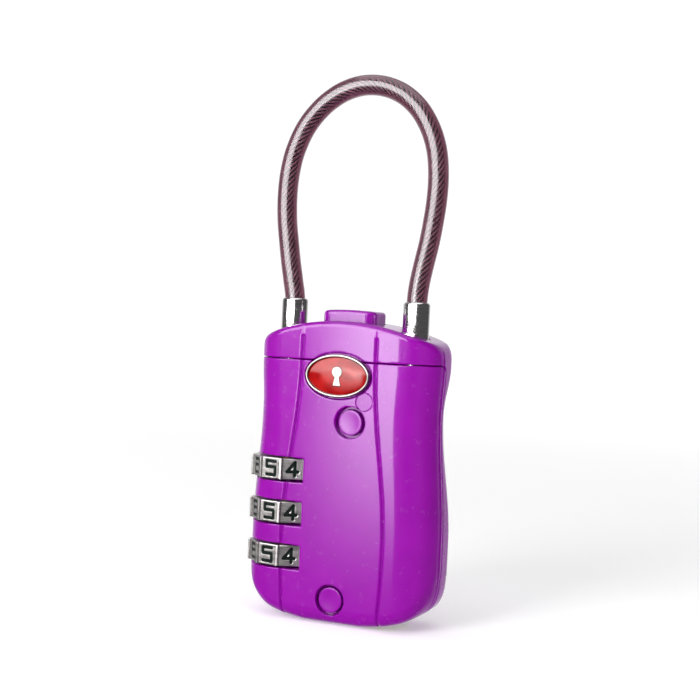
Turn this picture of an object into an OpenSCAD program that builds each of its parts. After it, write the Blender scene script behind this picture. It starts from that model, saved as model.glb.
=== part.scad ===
// Three-dial cable luggage lock: die-cast body, push button, inspection key plug
// and a vinyl-clad steel cable loop whose right end springs free.
// Millimetres. +Z up, -Y is the front, the lock stands on Z = 0.

/* [Body] */
// Widest half width, at the hips
hips_half = 14.8; // [14.6:0.1:15.0]
// Half width at the waist
waist_half = 13.9; // [13.7:0.05:14.4]
// Half width at the shoulder
shoulder_half = 14.2; // [14:0.05:14.5]
// Thickness of the body, front to back
body_t = 10.8; // [10.8:0.1:11.2]
// Height of the seam between front cover and cap
seam_z = 37.8; // [37.6:0.1:38]
// Height of the crown of the cap
crown_z = 43.6; // [43.4:0.1:44]
// Depth plane where front cover and rear housing part
part_y = 0.5; // [0.3:0.1:0.7]

/* [Dials] */
// Height of the middle of the lowest dial
dial_z = 9.2; // [9:0.1:9.4]
// Spacing of the dials
dial_pitch = 6.3; // [6.2:0.1:6.4]
// Distance of the dial axis left of centre
dial_x = 9.3; // [9.2:0.05:9.4]
// Height of one dial
dial_h = 3.1; // [2.9:0.1:3.2]
// Radius over the ridges of a dial
dial_r = 5.85; // [5.8:0.05:5.9]
// Turn of the digits away from straight ahead
dial_phase = -8; // [-12:1:0]

/* [Cable] */
// Distance of the free ferrule right of centre
loop_x = 9.5; // [9.45:0.05:9.55]
// Distance of the fixed ferrule left of centre
fixed_x = 9.75; // [9.7:0.05:9.8]
// Outer diameter of the vinyl sheath
sheath_d = 3.0; // [2.9:0.05:3.05]
// Diameter of the steel rope
core_d = 2.1; // [1.9:0.1:2.2]
// Diameter of a ferrule
ferrule_d = 3.9; // [3.8:0.05:3.95]

/* [Mechanism] */
// Travel of the push button
press = 1.2; // [1:0.1:1.2]
// Rise of the reset pin
reset = 1.3; // [1.2:0.1:1.3]
// Distance of the inspection key plug right of centre
key_x = 6.6; // [6.5:0.05:6.7]

/* [Hidden] */
$fn = 48;

half_t = body_t / 2;
run = 0.05;          // running clearance on a radius
slip = 0.02;         // clearance between parts that only just clear
seam_gap = 0.08;     // gap along the seam
over = 1;            // how far a cutter runs past a face
wall_t = 1.2;        // walls in front of and behind the mechanism

// outline of the body
toe_z = 7.5;         // the rounded bottom ends here
toe_n = 2.5;         // exponent of the rounded bottom
foot_cut = 0.12;     // trimmed off the bottom to leave a flat foot
hips_z = 12.5;
waist_z = 30.5;
corner_r = 1.6;      // of the shoulders, in the front view
crown_r = 32;        // of the arched top

// rivets, badge
rivet_r = 1.8;
rivets = [[2.1, 29.25, 2.4], [0.2, 3.75, 2.2]];   // x, z, radius of the recess
recess_t = 0.8;      // depth of the recess around a rivet
rivet_low = 0.25;    // how far a rivet head lies below the face
rivet_back = 4.2;
boss_r = 2.6;
badge_z = 35.75;
badge_half = [4.95, 3.1];
badge_y = 5.0;       // floor of its pocket, in front of the middle plane
badge_front = 5.85;
enamel_front = 5.7;
rim_w = 0.5;
dimple = [4.2, 32.3, 1.3];                        // x, z, radius
dimple_t = 0.3;

// button
button_size = [8.2, 6.0];
button_top = 45.25;
button_low = 41.0;
button_r = 1.5;
button_bore_z = 43;  // roof of the bore that holds the spring
button_floor = 39.5;
stem_half = [1.4, 0.8];
stem_top = 44.05;
wedge_line = 34.0;   // the stem's wedge face lies on x + z = wedge_line
wedge_gap = 0.07;

// latch
latch_z = [34.0, 35.2];
latch_x = [-3.2, 8.45];
latch_y = 3.9;
neck_r = 1.0;
stud_r = 1.6;
stud_z = [30.5, 39.6];
groove_z = [31.7, 35.3];

// ends of the cable
ferrule_top = 46.7;
socket_z = 43.2;     // floor of the socket that holds the cable
barrel_z = 39.7;     // lower end of the free ferrule
spigot_z = 42.3;     // top of the stud's spigot inside it
spigot_r = 1.18;
anchor_z = 33.6;     // lower end of the fixed ferrule
neck_z = [36.1, 37.1];
anchor_neck_r = 1.2;
eject_z = [20.6, 28.8];

// dial stack
sleeve_r = 1.9;
spindle_r = 1.2;
reset_pin_r = 0.8;
lug_r = 2.65;
flange_r = 3.0;
flange_z = [2.0, 3.0];
stack_r = 3.2;       // bore that the flanges turn in
cavity_r = 6.1;
cavity_h = 3.5;
window_x = [-16, -4.85];
fence_y = [-1.8, -1.4];
dial_levels = [for (i = [2:-1:0]) dial_z + i * dial_pitch];

// key plug
cylinder_r = 3.48;
plug_r = 2.5;
cylinder_z = [1.4, 16.8];
wafer_levels = [4.5, 6.3, 8.1, 9.9];
cam_z = [17.15, 18.3];
cross_x = 3.5;       // pin that keeps the cylinder in, beside its middle
cross_z = 10;
cross_half = 3.5;
cross_r = 0.6;

// loop of the cable, [x, z] along its middle, from the fixed to the free ferrule
CABLE_ROUTE = [
    [-9.75, 43.26], [-9.8, 46.7], [-10.25, 49.3], [-10.75, 52], [-11.25, 55.2], [-11.65, 58.2],
    [-11.8, 61.3], [-11.65, 64.5], [-11.15, 67.4], [-10.45, 69.5], [-9.4, 71.7], [-7.85, 73.8],
    [-5.8, 75.7], [-3.2, 77.2], [-0.25, 77.95], [2.9, 77.75], [5.85, 76.6], [8.25, 74.65],
    [9.95, 72.25], [11.05, 69.75], [11.65, 67.2], [11.87, 64.2], [11.77, 61.3], [11.45, 58.5],
    [10.95, 55.3], [10.2, 51.8], [9.7, 49.1], [9.5, 46.7], [9.5, 43.26]
];

function mix(a, b, t) = a + (b - a) * t;
function ease(t) = (1 - cos(180 * min(max(t, 0), 1))) / 2;
function side_half(z) = z < waist_z
    ? mix(hips_half, waist_half, ease((z - hips_z) / (waist_z - hips_z)))
    : mix(waist_half, shoulder_half, ease((z - waist_z) / (seam_z - waist_z)));
function toe_half(z) = side_half(toe_z)
    * pow(1 - pow(1 - min((z + foot_cut) / toe_z, 1), toe_n), 1 / toe_n);
function arch_z(x) = crown_z - x * x / (2 * crown_r);
corner_middle = [shoulder_half - corner_r, arch_z(shoulder_half - 1.02) - 1.49];

half_outline = concat(
    [for (z = [0, 0.25, 0.6, 1.1, 1.8, 2.8, 4, 5.5]) [toe_half(z), z]],
    [for (z = [toe_z:2.5:37.5]) [side_half(z), z]],
    [for (a = [0:17:68]) corner_middle + corner_r * [cos(a), sin(a)]],
    [for (x = [12:-2:0]) [x, arch_z(x)]]
);
outline = concat(half_outline, [for (i = [len(half_outline) - 2:-1:0])
    [-half_outline[i][0], half_outline[i][1]]]);

function unit(v) = v / norm(v);
function tangent(p, i) = unit(p[min(i + 1, len(p) - 1)] - p[max(i - 1, 0)]);

// A round bar swept along 3D points. Each ring starts from the side vector nearest to sides[i].
module swept_bar(path, sides, r, facets) {
    n = len(path);
    rings = [for (i = [0:n - 1]) let (
        t = tangent(path, i),
        u = unit(sides[i] - (sides[i] * t) * t),
        v = cross(t, u))
        for (k = [0:facets - 1]) path[i] + r * (cos(360 * k / facets) * u + sin(360 * k / facets) * v)];
    walls = [for (i = [0:n - 2]) for (k = [0:facets - 1]) let (k2 = (k + 1) % facets)
        for (f = [[0, 1, 3], [0, 3, 2]]) let (
            q = [i * facets + k, i * facets + k2, (i + 1) * facets + k, (i + 1) * facets + k2])
            [q[f[2]], q[f[1]], q[f[0]]]];
    start = [[for (k = [0:facets - 1]) k]];
    end = [[for (k = [facets - 1:-1:0]) (n - 1) * facets + k]];
    polyhedron(rings, concat(walls, start, end));
}

// Coil spring standing on z = 0.
module coil(mean_r, wire_d, length, turns) {
    steps = 10;
    count = turns * steps;
    rise = length - wire_d;
    path = [for (i = [0:count])
        [mean_r * cos(360 * i / steps), mean_r * sin(360 * i / steps), wire_d / 2 + rise * i / count]];
    radial = [for (p = path) [p[0], p[1], 0]];
    swept_bar(path, radial, wire_d / 2, 6);
}

module at_x(x) {
    translate([x, 0, 0]) children();
}

// Cylinder along +Z from z0 to z1.
module post(x, z0, z1, r) {
    translate([x, 0, z0]) cylinder(r = r, h = z1 - z0);
}

// Cylinder along +Y from y0 to y1.
module peg(x, z, y0, y1, r) {
    translate([x, y0, z]) rotate([-90, 0, 0]) cylinder(r = r, h = y1 - y0);
}

module box(x, y, z) {
    translate([x[0], y[0], z[0]]) cube([x[1] - x[0], y[1] - y[0], z[1] - z[0]]);
}

// Plate with the shape of children in X and Z, between y0 and y1.
module slab(y0, y1) {
    translate([0, y1, 0]) rotate([90, 0, 0]) linear_extrude(y1 - y0) children();
}

module rounded_rect(size, r) {
    square([size[0] - 2 * r, size[1]], center = true);
    square([size[0], size[1] - 2 * r], center = true);
    for (x = [-1, 1], y = [-1, 1]) {
        translate([x * (size[0] / 2 - r), y * (size[1] / 2 - r)]) circle(r);
    }
}

module oval(half) {
    polygon([for (a = [0:9:351]) [half[0] * cos(a), half[1] * sin(a)]]);
}

// Outside of the closed body.
module envelope() {
    round_x = hips_half + 0.2 - half_t;  // the ends stand just outside the outline
    rear_x = round_x + half_t;
    rear_r = 3.2;
    intersection() {
        slab(-half_t - over, half_t + over) polygon(outline);
        translate([0, 0, -over]) linear_extrude(crown_z + 2 * over) {
            square([2 * round_x, body_t], center = true);
            for (x = [-round_x, round_x]) translate([x, 0]) circle(half_t, $fn = 96);
            // squarer behind
            translate([-rear_x, 0]) square([2 * rear_x, half_t - rear_r]);
            for (x = [rear_r - rear_x, rear_x - rear_r]) translate([x, half_t - rear_r]) circle(rear_r);
        }
    }
}

// Room that the front cover takes, seen from the side, with its rounded top rear corner.
module cover_room(gap) {
    r = 1.2;
    front = 8;
    width = 40;
    rotate([90, 0, 90]) linear_extrude(width, center = true) {
        translate([-front, -over]) square([front + part_y - r, seam_z + over + gap]);
        translate([-front, -over]) square([front + part_y + gap, seam_z + over - r]);
        translate([part_y - r, seam_z - r]) circle(r + gap);
    }
}

// Hollows shared by both castings: the mechanism pocket, the dial stack and the bores.
module hollows() {
    depth = half_t - wall_t;
    rail_y = 3.6;
    difference() {
        union() {
            box([-3.4, 6.4], [-depth, depth], [17, 33.5]);
            box([-4.6, 8.7], [-depth, depth], [33, 37]);
        }
        peg(rivets[0][0], rivets[0][1], -half_t, half_t, boss_r);
        // rails that guide the latch
        for (y = [-1, 1], z = [[33, 33.95], [35.25, 36.2]]) {
            translate([0, y * rail_y, 0]) box([3.4, 8.8], [-0.6, 0.65], z);
        }
    }
    box([-7.1, -4], [-1.5, 1.5], [33.2, 36]);
    box([2, 11.4], [-depth, depth], [16.9, 19.4]);
    box([-3.5, 0.8], [-2.2, 2], [7.2, 18]);
    for (z = dial_levels) {
        post(-dial_x, z - cavity_h / 2, z + cavity_h / 2, cavity_r);
    }
    post(-dial_x, dial_z - 2.6, dial_levels[0] + 5.4, stack_r);
    post(-dial_x, 3.2, 32, spindle_r + run);
    post(-dial_x, -over, 3.4, reset_pin_r + 2 * run);
    post(key_x, -over, cylinder_z[1] + 0.2, cylinder_r + slip);
    peg(key_x + cross_x, cross_z, -cross_half - 0.1, cross_half + 0.1, cross_r + slip);
    post(loop_x, eject_z[0] - 0.1, stud_z[1], stud_r + 2 * run);
    post(loop_x, barrel_z - 0.3, crown_z + over, ferrule_d / 2 + run);
    post(-fixed_x, anchor_z - 0.2, crown_z + over, ferrule_d / 2 + run);
    box([-12.1, -6.7], [-2.5, 2.5], [neck_z[0] + 0.05, neck_z[1] - 0.05]);
    box([-stem_half[0] - 0.15, stem_half[0] + 0.15], [-stem_half[1] - 0.15, stem_half[1] + 0.15],
        [36.5, button_floor + 0.5]);
    translate([0, 0, button_floor]) linear_extrude(8)
        rounded_rect(button_size + [0.2, 0.2], button_r + 0.1);
    slab(-badge_y - over - 2, -badge_y) translate([0, badge_z]) oval(badge_half + [0.2, 0.2]);
}

module front_cover() {
    color("darkviolet") difference() {
        intersection() {
            envelope();
            cover_room(0);
        }
        hollows();
        // windows in front of the dials
        for (z = dial_levels) {
            box(window_x, [-7, -3.2], [z - cavity_h / 2, z + cavity_h / 2]);
            box([-7, -3], [fence_y[0] - 0.3, fence_y[1] + 0.3], [z + 1.9, z + 3.1]);
        }
        for (rivet = rivets) {
            peg(rivet[0], rivet[1], -7, -half_t + recess_t, rivet[2]);
            peg(rivet[0], rivet[1], -7, 7, rivet_r + run);
        }
        peg(dimple[0], dimple[1], -7, -half_t + dimple_t, dimple[2]);
    }
}

module rear_housing() {
    color("purple") difference() {
        envelope();
        cover_room(seam_gap);
        hollows();
        for (rivet = rivets) {
            peg(rivet[0], rivet[1], -2, rivet_back + 0.1, rivet_r + run);
        }
    }
}

module badge_bezel() {
    color("silver") slab(-badge_front, -badge_y - slip) translate([0, badge_z]) difference() {
        oval(badge_half);
        oval(badge_half - [rim_w, rim_w]);
    }
}

module badge_enamel() {
    inset = rim_w + slip;
    color("red") slab(-enamel_front, -badge_y - slip)
        translate([0, badge_z]) oval(badge_half - [inset, inset]);
}

module rivet(place) {
    color("mediumorchid") peg(place[0], place[1], -half_t + rivet_low, rivet_back, rivet_r);
}

module upper_rivet() {
    rivet(rivets[0]);
}

module lower_rivet() {
    rivet(rivets[1]);
}

// Crimped end fitting: a barrel over the cable with a blind socket in its top.
module ferrule_barrel(x, z0, play) {
    difference() {
        post(x, z0, ferrule_top, ferrule_d / 2);
        post(x, socket_z, ferrule_top + over, sheath_d / 2 + play);
    }
}

module fixed_ferrule() {
    color("gainsboro") difference() {
        ferrule_barrel(-fixed_x, anchor_z, 0.06);
        // neck that the anchor clip holds
        difference() {
            post(-fixed_x, neck_z[0], neck_z[1], 3);
            post(-fixed_x, neck_z[0] - over, neck_z[1] + over, anchor_neck_r);
        }
    }
}

module anchor_clip() {
    slot_r = anchor_neck_r + 0.1;
    color("slategray") difference() {
        box([-12, -6.8], [-2.4, 2.4], [neck_z[0] + 0.1, neck_z[1] - 0.1]);
        post(-fixed_x, neck_z[0], neck_z[1], slot_r);
        box([-fixed_x - slot_r, -fixed_x + slot_r], [-3, 0], neck_z);
    }
}

module cable_along(d, from, to) {
    points = [for (i = [from:to]) [CABLE_ROUTE[i][0], 0, CABLE_ROUTE[i][1]]];
    swept_bar(points, [for (p = points) [0, 1, 0]], d / 2, 8);
}

module cable_core() {
    color("lightsteelblue") cable_along(core_d, 0, len(CABLE_ROUTE) - 1);
}

module cable_sheath() {
    color("thistle") difference() {
        cable_along(sheath_d, 0, len(CABLE_ROUTE) - 1);
        cable_along(core_d + 0.1, 0, len(CABLE_ROUTE) - 1);
    }
}

module free_ferrule() {
    color("gainsboro") difference() {
        ferrule_barrel(loop_x, barrel_z, 0.15);
        post(loop_x, barrel_z - over, spigot_z + 0.1, spigot_r + slip);
    }
}

module free_stud() {
    color("silver") difference() {
        union() {
            post(loop_x, stud_z[0], stud_z[1], stud_r);
            post(loop_x, stud_z[1] - 0.1, spigot_z, spigot_r);
        }
        // long groove that the latch nose enters
        difference() {
            post(loop_x, groove_z[0], groove_z[1], 3);
            post(loop_x, groove_z[0] - over, groove_z[1] + over, neck_r);
        }
    }
}

module ejector_plunger() {
    color("goldenrod") {
        post(loop_x, eject_z[1] + 0.1, stud_z[0] - 0.1, stud_r - run);
        post(loop_x, eject_z[1] - 2.3, eject_z[1] + 0.2, 0.8);
    }
}

module ejector_spring() {
    color("dimgray") translate([loop_x, 0, eject_z[0]])
        coil(1.25, 0.4, eject_z[1] - eject_z[0], 7);
}

module push_button() {
    color("blueviolet") difference() {
        union() {
            translate([0, 0, button_low]) linear_extrude(button_top - button_low - 0.3)
                rounded_rect(button_size, button_r);
            translate([0, 0, button_top - 0.4]) linear_extrude(0.4)
                rounded_rect(button_size - [0.5, 0.5], button_r - 0.2);
        }
        post(0, button_low - over, button_bore_z, 2.35);
        box([-stem_half[0] - slip, stem_half[0] + slip], [-stem_half[1] - slip, stem_half[1] + slip],
            [42, stem_top + run]);
    }
}

module button_stem() {
    color("lightgray") intersection() {
        difference() {
            box([-stem_half[0], stem_half[0]], [-stem_half[1], stem_half[1]], [33, stem_top]);
            // side notches for the clip
            for (x = [-1.4, 1.4]) box([x - 0.35, x + 0.35], [-2, 2], [36.4, 37]);
        }
        slab(-3, 3) polygon([
            [-3, wedge_line + 3], [-3, 46], [3, 46], [3, 33], [wedge_line - 33, 33]
        ]);
    }
}

module button_clip() {
    color("slategray") difference() {
        box([-2.3, 2.3], [-1.8, 1.8], [36.45, 36.95]);
        box([-1.02, 1.02], [-3, 0.85], [36, 38]);
    }
}

module button_spring() {
    length = button_bore_z - button_floor - run;
    color("dimgray") translate([0, 0, button_floor + slip]) coil(1.95, 0.4, length, 3);
}

module latch() {
    color("steelblue") difference() {
        box(latch_x, [-latch_y, latch_y], latch_z);
        // window with the sloping wall that the stem's wedge pushes
        slab(-0.95, 0.95) polygon([
            [wedge_line - wedge_gap - 36, 36], [2.75, 36], [2.75, 33], [wedge_line - wedge_gap - 33, 33]
        ]);
        box([-2.05, -1.15], [fence_y[0] - 0.05, fence_y[1] + 0.05], [33, 36]);
        // the nose is narrow and bevelled on top
        for (y = [-1, 1]) translate([0, y * 3.2, 0]) box([6.2, 9], [-1.9, 1.9], [33, 36]);
        translate([latch_x[1], 0, latch_z[1]]) rotate([0, 45, 0]) cube([0.6, 6, 0.6], center = true);
    }
}

module latch_spring() {
    color("dimgray") translate([-7.05, 0, 34.6]) rotate([0, 90, 0]) coil(0.95, 0.3, 3.8, 5);
}

// Comb of spring steel: its fingers enter the sleeve gates only when the code is right.
module code_fence() {
    reach = -dial_x + 2.71;
    color("cadetblue") {
        box([-2, -1.2], fence_y, [11.2, 35.5]);
        for (z = dial_levels) box([reach, -1.9], fence_y, [z + 2.1, z + 2.9]);
        box([-1.3, 4], fence_y, [17.4, 18.2]);
    }
}

// Comb that clicks against the flats of the dials.
module index_spring() {
    color("cadetblue") {
        box([-2.6, -2.3], [0.6, 1.6], [7.4, 28]);
        for (z = dial_levels) peg(-3.1, z, 0.7, 1.5, 0.38);
        for (z = dial_levels) box([-3.1, -2.4], [0.7, 1.5], [z - 0.2, z + 0.2]);
    }
}

module dial(z) {
    notch_r = 2.75;
    color("gainsboro") translate([-dial_x, 0, z]) rotate([0, 0, dial_phase]) difference() {
        intersection() {
            rotate([0, 0, 72]) translate([0, 0, -dial_h / 2])
                cylinder(r = 5.65 / cos(18), h = dial_h, $fn = 10);
            cylinder(r = dial_r, h = dial_h + 2, center = true);
        }
        cylinder(r = sleeve_r + run, h = dial_h + 2, center = true);
        // ten notches for the sleeve's lug
        for (a = [0:36:324]) rotate([0, 0, a])
            translate([0, -0.45, 0.2]) cube([notch_r, 0.9, dial_h]);
    }
}

module dial_1() {
    dial(dial_levels[0]);
}

module dial_2() {
    dial(dial_levels[1]);
}

module dial_3() {
    dial(dial_levels[2]);
}

module sleeve(z) {
    color("peru") translate([-dial_x, 0, z]) difference() {
        union() {
            translate([0, 0, -1.45]) cylinder(r = sleeve_r, h = 1.45 + flange_z[1]);
            translate([0, 0, flange_z[0]]) cylinder(r = flange_r, h = flange_z[1] - flange_z[0]);
            rotate([0, 0, dial_phase]) box([0, lug_r], [-0.3, 0.3], [0.35, 1.45]);
        }
        translate([0, 0, -3]) cylinder(r = spindle_r + run, h = 8);
        // gate for the fence's finger
        difference() {
            box([0, 5], [fence_y[0] - 0.2, fence_y[1] + 0.2], [flange_z[0] - over, flange_z[1] + over]);
            cylinder(r = sleeve_r, h = 12, center = true);
        }
    }
}

module sleeve_1() {
    sleeve(dial_levels[0]);
}

module sleeve_2() {
    sleeve(dial_levels[1]);
}

module sleeve_3() {
    sleeve(dial_levels[2]);
}

module dial_spindle() {
    color("silver") difference() {
        union() {
            post(-dial_x, 3.8, 30, spindle_r);
            post(-dial_x, 1.6, 3.9, reset_pin_r);
        }
        for (z = dial_levels) difference() {
            post(-dial_x, z - 2, z - 1.5, 2);
            post(-dial_x, z - 3, z - 1, 0.95);
        }
    }
}

module sleeve_clips() {
    color("slategray") for (z = dial_levels) difference() {
        post(-dial_x, z - 1.95, z - 1.55, 1.8);
        post(-dial_x, z - 3, z - 1, 1.0);
        translate([-dial_x, 0, z - 1.7]) box([-0.85, 0.85], [-3, 0], [-1, 1]);
    }
}

module reset_spring() {
    color("dimgray") translate([-dial_x, 0, dial_levels[0] + flange_z[1] + 0.05]) coil(1.6, 0.3, 2.3, 3);
}

module key_cylinder() {
    color("khaki") difference() {
        post(key_x, cylinder_z[0], cylinder_z[1], cylinder_r);
        post(key_x, -1, 20, plug_r + run);
        peg(key_x + cross_x, cross_z, -cross_half - 0.1, cross_half + 0.1, cross_r + 2 * slip);
    }
}

module key_plug() {
    color("gold") difference() {
        post(key_x, cylinder_z[0] - 0.2, cylinder_z[1] + 0.3, plug_r);
        at_x(key_x) box([-1.6, 1.6], [-0.45, 0.45], [0, 13]);
        for (z = wafer_levels) at_x(key_x) box([-3, 3], [-1.25, 1.25], [z - 0.05, z + 0.55]);
        post(key_x, 13.6, 18, 0.7);
    }
}

module key_wafers() {
    color("orange") for (z = wafer_levels) at_x(key_x) difference() {
        box([-2.1, 2.1], [-1.2, 1.2], [z, z + 0.5]);
        box([-1.65, 1.65], [-0.5, 0.5], [z - 1, z + 1]);
    }
}

// Lobe that pushes the fence's tail aside when the inspection key turns.
module key_cam() {
    color("chocolate") difference() {
        union() {
            post(key_x, cam_z[0], cam_z[1], 2.2);
            at_x(key_x) box([-4.0, 0], [-1, 1], cam_z);
        }
        post(key_x, 16, 19, 0.8);
    }
}

module cam_screw() {
    color("lightgray") difference() {
        union() {
            post(key_x, 13.7, cam_z[1] + run, 0.65);
            post(key_x, cam_z[1] + slip, 19.2, 1.4);
        }
        at_x(key_x) box([-2, 2], [-0.2, 0.2], [18.8, 20]);
    }
}

module cylinder_pin() {
    color("silver") peg(key_x + cross_x, cross_z, -cross_half, cross_half, cross_r);
}

front_cover();
rear_housing();
badge_bezel();
badge_enamel();
upper_rivet();
lower_rivet();
fixed_ferrule();
anchor_clip();
cable_core();
cable_sheath();
free_ferrule();
free_stud();
ejector_plunger();
ejector_spring();
push_button();
button_stem();
button_clip();
button_spring();
latch();
latch_spring();
code_fence();
index_spring();
dial_1();
dial_2();
dial_3();
sleeve_1();
sleeve_2();
sleeve_3();
dial_spindle();
sleeve_clips();
reset_spring();
key_cylinder();
key_plug();
key_wafers();
key_cam();
cam_screw();
cylinder_pin();
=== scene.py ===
import math

import bmesh
import bpy
import numpy as np
from mathutils import Matrix, Vector


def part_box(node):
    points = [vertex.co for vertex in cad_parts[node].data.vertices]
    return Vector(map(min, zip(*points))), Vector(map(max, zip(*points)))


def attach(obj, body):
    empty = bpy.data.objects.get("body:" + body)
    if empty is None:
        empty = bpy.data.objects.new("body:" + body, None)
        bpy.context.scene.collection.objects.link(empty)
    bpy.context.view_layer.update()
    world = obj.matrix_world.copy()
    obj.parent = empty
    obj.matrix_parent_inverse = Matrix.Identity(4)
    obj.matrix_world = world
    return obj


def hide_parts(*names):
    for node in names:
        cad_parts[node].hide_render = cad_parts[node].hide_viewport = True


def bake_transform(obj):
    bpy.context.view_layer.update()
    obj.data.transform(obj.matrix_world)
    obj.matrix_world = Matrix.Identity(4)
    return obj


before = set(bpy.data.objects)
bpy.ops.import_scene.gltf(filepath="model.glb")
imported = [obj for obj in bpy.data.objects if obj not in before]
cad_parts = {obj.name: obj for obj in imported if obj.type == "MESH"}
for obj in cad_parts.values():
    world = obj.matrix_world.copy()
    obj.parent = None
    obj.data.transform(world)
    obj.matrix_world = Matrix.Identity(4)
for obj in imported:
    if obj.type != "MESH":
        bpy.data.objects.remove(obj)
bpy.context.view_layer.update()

MM = 0.001


# -------------------- sizes, in millimetres

def node_box(node):
    low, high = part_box(node)
    return np.array(low) / MM, np.array(high) / MM


COVER_LOW, COVER_HIGH = node_box("front_cover")
REAR_LOW, REAR_HIGH = node_box("rear_housing")
BUTTON_LOW, BUTTON_HIGH = node_box("push_button")
FERRULE_LOW, FERRULE_HIGH = node_box("fixed_ferrule")
FERRULE_R = (FERRULE_HIGH[0] - FERRULE_LOW[0]) / 2
DIALS = ["dial_1", "dial_2", "dial_3"]
DIAL_BODIES = ["dial_top", "dial_middle", "dial_bottom"]
SHEATH_R = node_box("cable_sheath")[1][1]

HALF_T = REAR_HIGH[1]                    # half the thickness of the body
HIPS_HALF = REAR_HIGH[0]
WAIST_HALF = HIPS_HALF - 0.9
SHOULDER_HALF = HIPS_HALF - 0.6
SEAM_Z = COVER_HIGH[2]
CROWN_Z = REAR_HIGH[2]
PART_Y = COVER_HIGH[1]
SEAM_GAP, SEAM_EDGE_R = 0.13, 0.16
TOE_Z, TOE_POWER, FOOT_CUT = 7.5, 2.5, 0.12  # rounded bottom: its height, its power, its flat's cut
HIPS_Z, WAIST_Z = 12.5, 30.5
CORNER_R, CROWN_R = 1.6, 32.0            # of the arched cap's corners and of its arch
WALL = 1.2
RUN = 0.05                               # clearance round a pin
DIAL_X = np.mean([node_box("dial_1")[i][0] for i in (0, 1)])
DIAL_R = 5.85
DIAL_PHASE = -8.0                        # where the facet with the 5 faces, in degrees from the front
DIAL_ROOM_R = 6.1
WINDOW_HALF = 1.75                       # half the height of the opening for a dial
DIAL_Z = [np.mean([node_box(d)[i][2] for i in (0, 1)]) for d in DIALS]
LOOP_X = (node_box("free_stud")[0][0] + node_box("free_stud")[1][0]) / 2
FIXED_X = (FERRULE_LOW[0] + FERRULE_HIGH[0]) / 2
KEY_X = (node_box("key_plug")[0][0] + node_box("key_plug")[1][0]) / 2
RIVET_R = (node_box("upper_rivet")[1][0] - node_box("upper_rivet")[0][0]) / 2
RIVETS = [(2.1, 29.25, 2.3), (0.2, 3.75, 2.2)]    # x, z and the radius of the recess round it
RECESS_T = 1.1
DIMPLE = (4.2, 32.3, 1.3)                # x, z, radius
DIMPLE_T = 0.2
BADGE = (35.75, 4.95, 3.1)               # height of its middle, half width, half height
BADGE_FLOOR = -5.0
BUTTON_CORNER_R, BUTTON_EDGE_R = 1.5, 0.5
BUTTON_FLOOR = 39.5
SOCKET_Z = 43.2                          # floor of the sockets that the cable goes into


# -------------------- camera

def make_camera():
    """Camera at 22.8 degrees right of the front, just above level, rolled a little."""
    distance, azimuth, height, roll = 179.9, 22.85, 1.08, 2.56
    target = np.array([0, 0, 40.4])
    frame_px, focal_px, shift_px = 700, 1232.4, (-3.9, -6.6)
    a, h = math.radians(azimuth), math.radians(height)
    back = Vector((math.sin(a) * math.cos(h), -math.cos(a) * math.cos(h), math.sin(h)))
    right = Vector((math.cos(a), math.sin(a), 0))
    up = back.cross(right)
    r = math.radians(roll)
    right, up = math.cos(r) * right + math.sin(r) * up, -math.sin(r) * right + math.cos(r) * up
    data = bpy.data.cameras.new("camera")
    camera = bpy.data.objects.new("camera", data)
    bpy.context.scene.collection.objects.link(camera)
    place = Vector(target * MM) + distance * MM * back
    basis = Matrix((right, up, back)).transposed().to_4x4()
    camera.matrix_world = Matrix.Translation(place) @ basis
    data.sensor_width = 36
    data.lens = focal_px * data.sensor_width / frame_px
    data.shift_x = shift_px[0] / frame_px
    data.shift_y = shift_px[1] / frame_px
    data.clip_start, data.clip_end = 0.01, 10
    bpy.context.scene.camera = camera


make_camera()


# -------------------- mesh helpers

def link(name, verts, faces):
    """A new smooth mesh object from points in millimetres."""
    mesh = bpy.data.meshes.new(name)
    mesh.from_pydata([tuple(v) for v in np.asarray(verts, float) * MM], [], faces)
    mesh.validate()
    mesh.polygons.foreach_set("use_smooth", [True] * len(mesh.polygons))
    piece = bpy.data.objects.new(name, mesh)
    bpy.context.scene.collection.objects.link(piece)
    return piece


def finish_piece(piece, body, material, replaces=()):
    piece.data.materials.append(material)
    if body:
        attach(piece, body)
    if replaces:
        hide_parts(*replaces)
    return piece


def sharpen(piece, degrees=35):
    """Smooth shading that breaks at edges sharper than this."""
    bm = bmesh.new()
    bm.from_mesh(piece.data)
    bmesh.ops.recalc_face_normals(bm, faces=bm.faces)
    limit = math.radians(degrees)
    for edge in bm.edges:
        edge.smooth = not (len(edge.link_faces) == 2 and edge.calc_face_angle() > limit)
    bm.to_mesh(piece.data)
    bm.free()


def lathe(name, profile, segments, x=0):
    """A closed solid turned about Z from (radius, z) points; the first and last lie on the axis."""
    ring = []
    for r, z in profile:
        if r < 1e-6:
            ring.append([(x, 0, z)])
        else:
            ring.append([(x + r * math.cos(2 * math.pi * k / segments),
                          r * math.sin(2 * math.pi * k / segments), z) for k in range(segments)])
    verts = [p for points in ring for p in points]
    starts = np.cumsum([0] + [len(points) for points in ring])
    faces = []
    for i in range(len(ring) - 1):
        a, b, na, nb = starts[i], starts[i + 1], len(ring[i]), len(ring[i + 1])
        for k in range(segments):
            k2 = (k + 1) % segments
            if na == 1:
                faces.append((a, b + k, b + k2))
            elif nb == 1:
                faces.append((a + k, b, a + k2))
            else:
                faces.append((a + k, b + k, b + k2, a + k2))
    piece = link(name, verts, faces)
    sharpen(piece)
    return piece


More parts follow.
